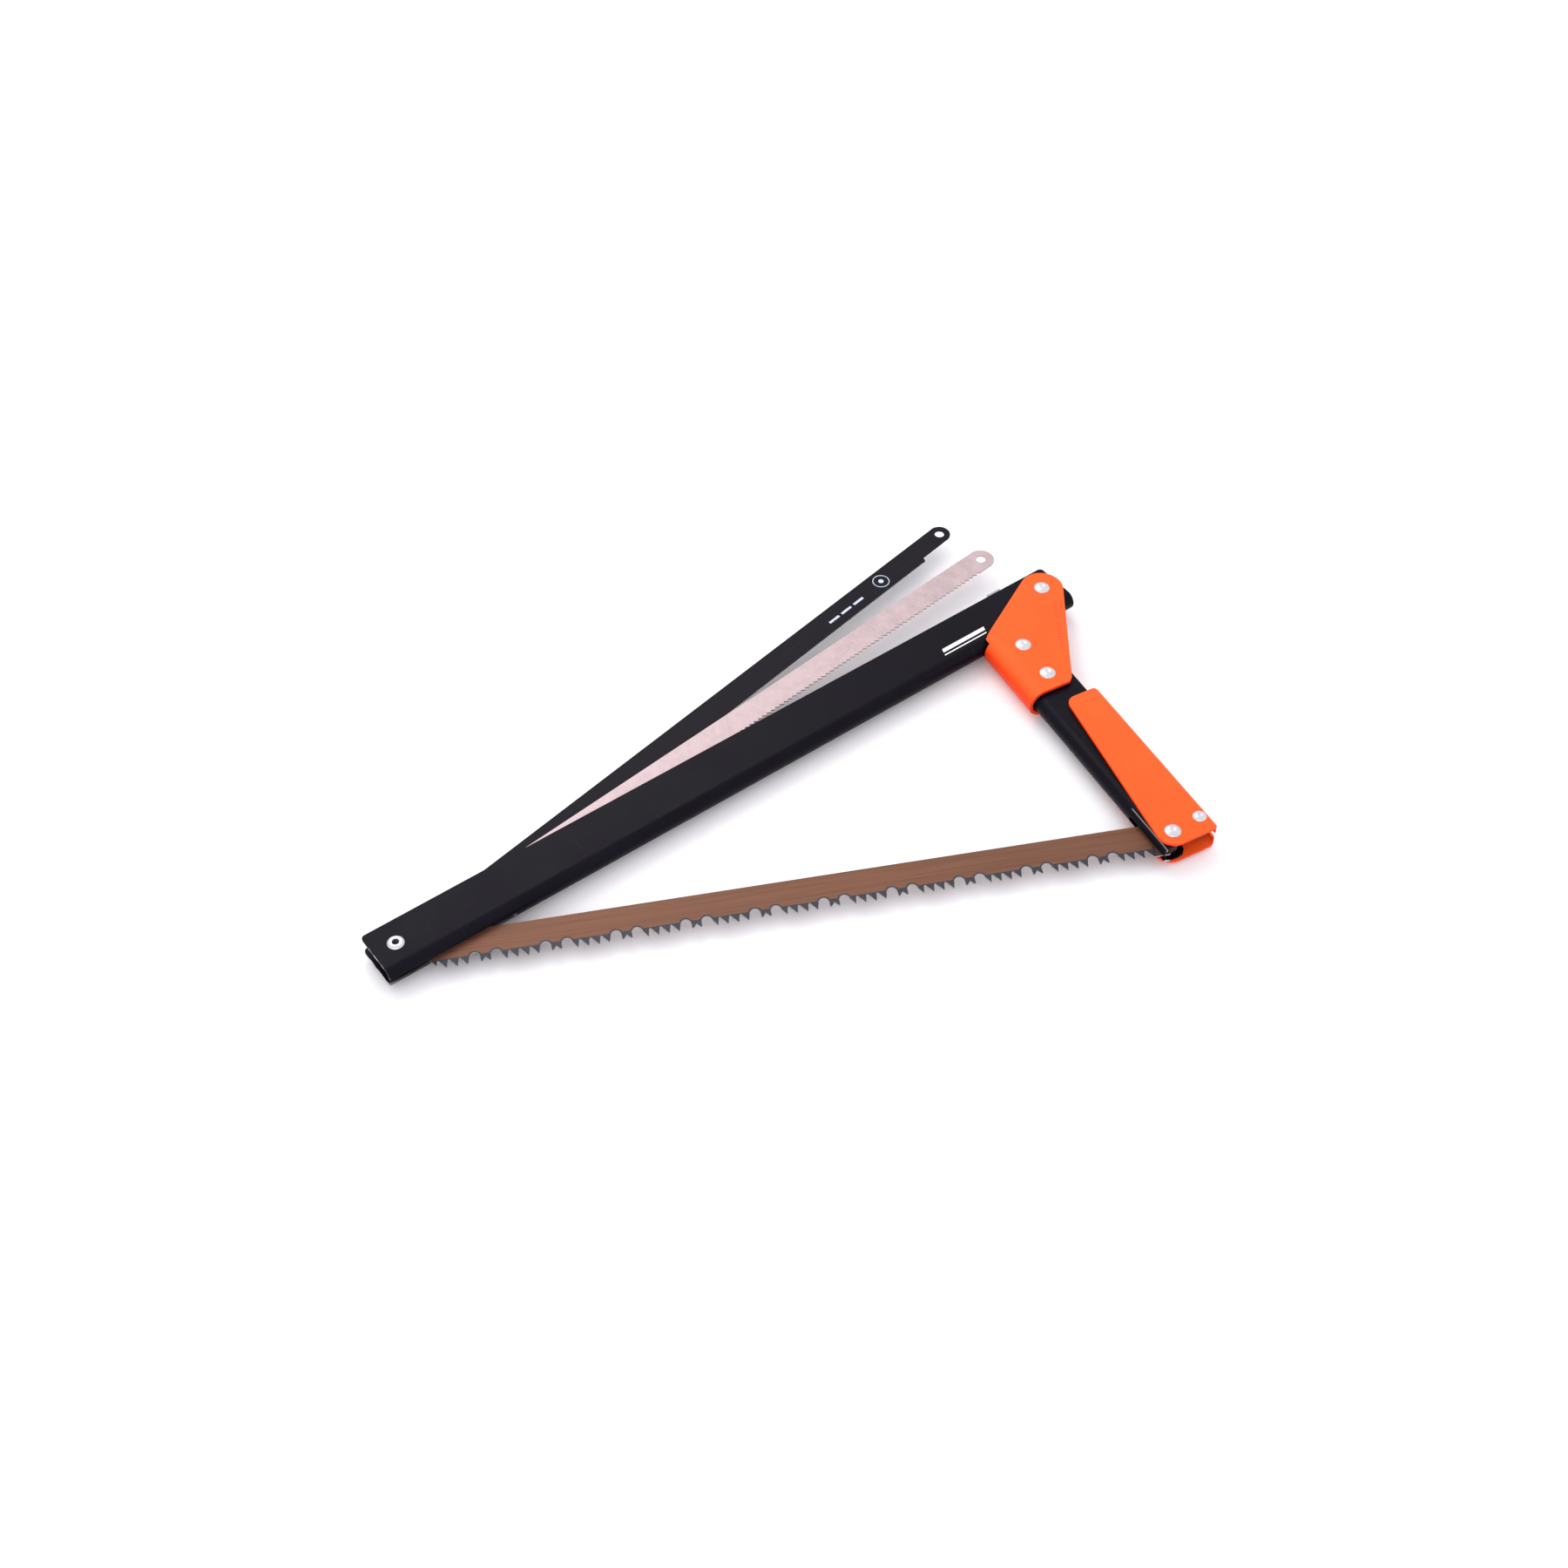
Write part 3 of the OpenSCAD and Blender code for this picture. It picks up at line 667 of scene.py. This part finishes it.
class SAW_OT_finishes(bpy.types.Operator):
    """Mixes the paints and metals of the pieces"""
    bl_idname = "saw.finishes"
    bl_label = "Finishes"

    def execute(self, context):
        c = context.scene.saw_colours
        GROUPS["coat"] = powder_coat_group()
        GROUPS["grain"] = rolled_grain_group()
        GROUPS["handled"] = handled_group()
        FINISHES["arm"] = black_paint("Long arm black", (0, 0, 0), 0.0, 13.9, -16.5,
                                      (-14, 64), (-12.6, -1), True)
        FINISHES["grip"] = black_paint("Short arm black", KNEE, GRIP_TURN, -21.0, -50.2,
                                       (164, 200), (190, 1), False)
        FINISHES["bracket"] = orange_paint("Bracket orange", True)
        FINISHES["lever"] = orange_paint("Lever orange", False)
        FINISHES["rivet"] = bright_metal("Rivet zinc", c.zinc, 0.36)
        FINISHES["washer"] = bright_metal("Washer steel", (0.46, 0.455, 0.46, 1), 0.38)
        FINISHES["wood"] = wood_steel()
        FINISHES["bone"] = bone_steel()
        FINISHES["metal"] = metal_blade_steel()
        return {'FINISHED'}


class SAW_OT_arms(bpy.types.Operator):
    """Softens the cut edges of the long arm and the short arm"""
    bl_idname = "saw.arms"
    bl_label = "Arms"

    def execute(self, context):
        r = context.scene.saw_sizes.sheet_round
        for node, body, finish in (("long_arm", "frame", "arm"), ("short_arm", "grip", "grip")):
            piece = sheet_copy(node, node + "_painted")
            round_edges(piece, r)
            finish_piece(piece, body, FINISHES[finish], node)
        return {'FINISHED'}


class SAW_OT_bracket_and_lever(bpy.types.Operator):
    """Softens the cut edges of the knee bracket and the tension lever"""
    bl_idname = "saw.bracket_and_lever"
    bl_label = "Bracket and lever"

    def execute(self, context):
        r = context.scene.saw_sizes.sheet_round
        for node, body, finish in (("knee_bracket", "grip", "bracket"),
                                   ("tension_lever", "lever", "lever")):
            piece = sheet_copy(node, node + "_painted")
            round_edges(piece, r * 1.3)
            finish_piece(piece, body, FINISHES[finish], node)
        return {'FINISHED'}


class SAW_OT_wood_blade(bpy.types.Operator):
    """Eases the edges of the wood blade"""
    bl_idname = "saw.wood_blade"
    bl_label = "Wood blade"

    def execute(self, context):
        piece = sheet_copy("wood_blade", "wood_blade_toothed")
        round_edges(piece, context.scene.saw_sizes.blade_round, 1)
        finish_piece(piece, "wood_blade", FINISHES["wood"], "wood_blade")
        return {'FINISHED'}


class SAW_OT_bone_blade(bpy.types.Operator):
    """Eases the edges of the bone blade"""
    bl_idname = "saw.bone_blade"
    bl_label = "Bone blade"

    def execute(self, context):
        piece = sheet_copy("bone_blade", "bone_blade_toothed")
        round_edges(piece, context.scene.saw_sizes.blade_round, 1)
        finish_piece(piece, "bone_blade", FINISHES["bone"], "bone_blade")
        return {'FINISHED'}


class SAW_OT_metal_blade(bpy.types.Operator):
    """Files fine teeth into the edge of the metal blade"""
    bl_idname = "saw.metal_blade"
    bl_label = "Metal blade"

    def execute(self, context):
        sizes = context.scene.saw_sizes
        piece = sheet_copy("metal_blade", "metal_blade_toothed")
        lo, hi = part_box("metal_blade")
        turn = Matrix.Rotation(METAL_TURN, 4, 'Z')
        mid = (lo.z + hi.z) / 2
        edge = FINE_EDGE * MM
        # One three-sided file stroke, repeated along the edge and cut away
        select_none()
        bpy.ops.mesh.primitive_cylinder_add(
            vertices=3, radius=0.002, depth=4 * (hi.z - lo.z), end_fill_type='NGON',
            location=(0, 0, mid))
        stroke = context.view_layer.objects.active
        stroke.name = "file_stroke"
        only(stroke)
        bpy.ops.object.transform_apply(location=True, rotation=True, scale=True)
        corners = sorted({(round(v.co.x, 7), round(v.co.y, 7)) for v in stroke.data.vertices})
        start = FINE_FROM * MM
        want = [Vector((start, edge - 0.0002)), Vector((start + sizes.fine_pitch * 0.35,
                edge + sizes.fine_depth)), Vector((start + sizes.fine_pitch * 0.98, edge - 0.0002))]
        for v in stroke.data.vertices:
            w2 = want[corners.index((round(v.co.x, 7), round(v.co.y, 7)))]
            v.co.x, v.co.y = w2.x, w2.y
        edit(stroke)
        bpy.ops.mesh.select_all(action='SELECT')
        bpy.ops.mesh.normals_make_consistent(inside=False)
        done()
        count = int((BLADE_LENGTH - 2 * FINE_FROM) * MM / sizes.fine_pitch)
        apply(stroke, 'ARRAY', count=count, use_relative_offset=False, use_constant_offset=True,
              constant_offset_displace=(sizes.fine_pitch, 0, 0))
        only(stroke)
        stroke.matrix_world = turn
        bpy.ops.object.transform_apply(location=True, rotation=True, scale=True)
        apply(piece, 'BOOLEAN', operation='DIFFERENCE', object=stroke, solver='EXACT')
        bpy.data.objects.remove(stroke)
        smooth(piece, 30)
        finish_piece(piece, "metal_blade", FINISHES["metal"], "metal_blade")
        return {'FINISHED'}


# Half of a rivet's outside, from its rim to the dimple that the setting tool leaves
DOME = [(4.60, 0.00), (4.60, 0.10), (4.40, 0.34), (4.00, 0.66), (3.40, 1.00), (2.70, 1.27),
        (2.10, 1.44), (1.80, 1.52), (1.55, 1.52), (1.35, 1.42), (1.05, 1.34), (0.45, 1.31)]


def domed(scale, height):
    return [(r * scale, z * height / 1.6) for r, z in DOME]


class SAW_OT_rivets(bpy.types.Operator):
    """Turns the domed rivets of knee, bracket and lever and the hook stud"""
    bl_idname = "saw.rivets"
    bl_label = "Rivets and stud"

    def execute(self, context):
        halves = (("knee_rivet_top", "knee_rivet_bottom"),
                  ("lever_rivet_top", "lever_rivet_bottom"))
        for top, bottom in halves:
            for node, way in ((top, 1), (bottom, -1)):
                lo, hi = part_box(node)
                seat = (hi.z if way > 0 else -lo.z) / MM - 1.51
                inner = (lo.z if way > 0 else -hi.z) / MM
                flange = [(4.2, inner), (4.2, inner + 1.0), (4.1, inner + 1.05)]
                shank = [(2.5, inner + 1.05), (2.5, seat)]
                profile = flange + shank + [(r, seat + z) for r, z in domed(1, 1.56)]
                self.make(node, middle(node), profile, way, "grip")
        for node in ("bracket_rivet_upper", "bracket_rivet_lower"):
            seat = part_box(node)[1].z / MM - 1.51
            upper = [(r, seat + z) for r, z in domed(1, 1.56)]
            lower = [(r, -z) for r, z in reversed(upper)]
            self.make(node, middle(node), lower + [(2.5, -seat), (2.5, seat)] + upper, 1, "grip")
        lo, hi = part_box("hook_stud")
        seat = hi.z / MM - 1.33
        profile = [(2.2, lo.z / MM), (2.45, lo.z / MM + 0.05), (2.6, lo.z / MM + 0.25), (2.6, seat)]
        profile += [(r, seat + z) for r, z in domed(3.8 / 4.6, 1.38)]
        self.make("hook_stud", STUD, profile, 1, "lever")
        return {'FINISHED'}

    def make(self, node, at, profile, way, body):
        piece = turned(node + "_turned", at, [(r, z * way) for r, z in profile])
        finish_piece(piece, body, FINISHES["rivet"], node)


class SAW_OT_front_pin(bpy.types.Operator):
    """Turns the tubular front pin with its rolled rims"""
    bl_idname = "saw.front_pin"
    bl_label = "Front pin"

    def execute(self, context):
        upper = [(1.80, 6.60), (1.86, 6.90), (2.05, 7.08), (2.45, 7.17), (3.0, 7.13), (3.7, 6.88),
                 (4.25, 6.50), (4.55, 6.18), (4.55, 6.03), (2.80, 6.0)]
        lower = [(r, -z) for r, z in reversed(upper)]
        profile = upper + lower + [(1.80, 0.0), upper[0]]
        piece = turned("front_pin_turned", Vector((0, 0, 0)), profile, bored=True)
        finish_piece(piece, "frame", FINISHES["rivet"], "front_pin")
        return {'FINISHED'}


class SAW_OT_washers(bpy.types.Operator):
    """Gives the bushes, washers, spacer tubes and the clip their bare steel"""
    bl_idname = "saw.washers"
    bl_label = "Washers and clip"

    def execute(self, context):
        for node in ("front_bush_upper", "front_bush_lower", "blade_washer_upper",
                     "blade_washer_lower", "blade_clip", "knee_washers", "spacer_tube_upper",
                     "spacer_tube_lower", "bracket_washers"):
            obj = frame["nodes"][node]
            obj.data.materials.clear()
            obj.data.materials.append(FINISHES["washer"])
        return {'FINISHED'}


class SAW_OT_stage(bpy.types.Operator):
    """Lays the pale floor and sets the lights and the camera"""
    bl_idname = "saw.stage"
    bl_label = "Stage"

    def execute(self, context):
        st = context.scene.saw_stage
        select_none()
        low = CAD_BOX[0][2]
        bpy.ops.mesh.primitive_plane_add(size=8, location=(0.2, 0, low - 0.0002))
        floor = context.view_layer.objects.active
        floor.name = "floor"
        only(floor)
        bpy.ops.object.transform_apply(location=True, rotation=True, scale=True)
        floor.data.materials.append(floor_paint())
        context.scene.view_settings.view_transform = 'Standard'
        world = bpy.data.worlds.new("Even daylight")
        context.scene.world = world
        world.use_nodes = True
        back = world.node_tree.nodes["Background"]
        back.inputs["Color"].default_value = (0.98, 0.966, 1.0, 1)
        back.inputs["Strength"].default_value = st.daylight
        self.lamp("Key light", (0.35, 0.75, 0.95), (0.22, -0.05, 0), 0.9, st.key)
        self.lamp("Fill light", (-0.5, -0.7, 0.7), (0.22, -0.05, 0), 1.0, st.fill)
        camera = bpy.data.objects.new("Camera", bpy.data.cameras.new("Camera"))
        context.scene.collection.objects.link(camera)
        camera.location = (-0.2397, -0.6571, 0.9010)
        camera.rotation_euler = (math.radians(41.01), 0, math.radians(-36.56))
        camera.data.lens = 50
        camera.data.sensor_width = 36
        camera.data.clip_start = 0.01
        context.scene.camera = camera
        return {'FINISHED'}

    def lamp(self, name, at, aim, size, power):
        data = bpy.data.lights.new(name, 'AREA')
        data.shape = 'DISK'
        data.size = size
        data.energy = power
        lamp = bpy.data.objects.new(name, data)
        bpy.context.scene.collection.objects.link(lamp)
        lamp.location = at
        lamp.rotation_euler = (Vector(aim) - Vector(at)).to_track_quat('-Z', 'Y').to_euler()


class SAW_PT_panel(bpy.types.Panel):
    """Lists the saw's sizes, colours and pieces"""
    bl_idname = "SAW_PT_panel"
    bl_label = "Folding frame saw"
    bl_space_type = 'VIEW_3D'
    bl_region_type = 'UI'
    bl_category = "Saw"

    def draw(self, context):
        layout = self.layout
        for group in (context.scene.saw_sizes, context.scene.saw_colours, context.scene.saw_stage):
            box = layout.box()
            for key in group.__annotations__:
                box.prop(group, key)
        for step in STEPS:
            layout.operator(step.bl_idname)


STEPS = (SAW_OT_finishes, SAW_OT_arms, SAW_OT_bracket_and_lever, SAW_OT_wood_blade,
         SAW_OT_bone_blade, SAW_OT_metal_blade, SAW_OT_rivets, SAW_OT_front_pin, SAW_OT_washers,
         SAW_OT_stage)
CLASSES = (SawSizes, SawColours, SawStage) + STEPS + (SAW_PT_panel,)


def register():
    for cls in CLASSES:
        bpy.utils.register_class(cls)
    bpy.types.Scene.saw_sizes = PointerProperty(type=SawSizes)
    bpy.types.Scene.saw_colours = PointerProperty(type=SawColours)
    bpy.types.Scene.saw_stage = PointerProperty(type=SawStage)


def unregister():
    del bpy.types.Scene.saw_stage
    del bpy.types.Scene.saw_colours
    del bpy.types.Scene.saw_sizes
    for cls in reversed(CLASSES):
        bpy.utils.unregister_class(cls)


def main():
    register()
    for step in STEPS:
        area, name = step.bl_idname.split(".")
        getattr(getattr(bpy.ops, area), name)()


if __name__ == "__main__":
    main()
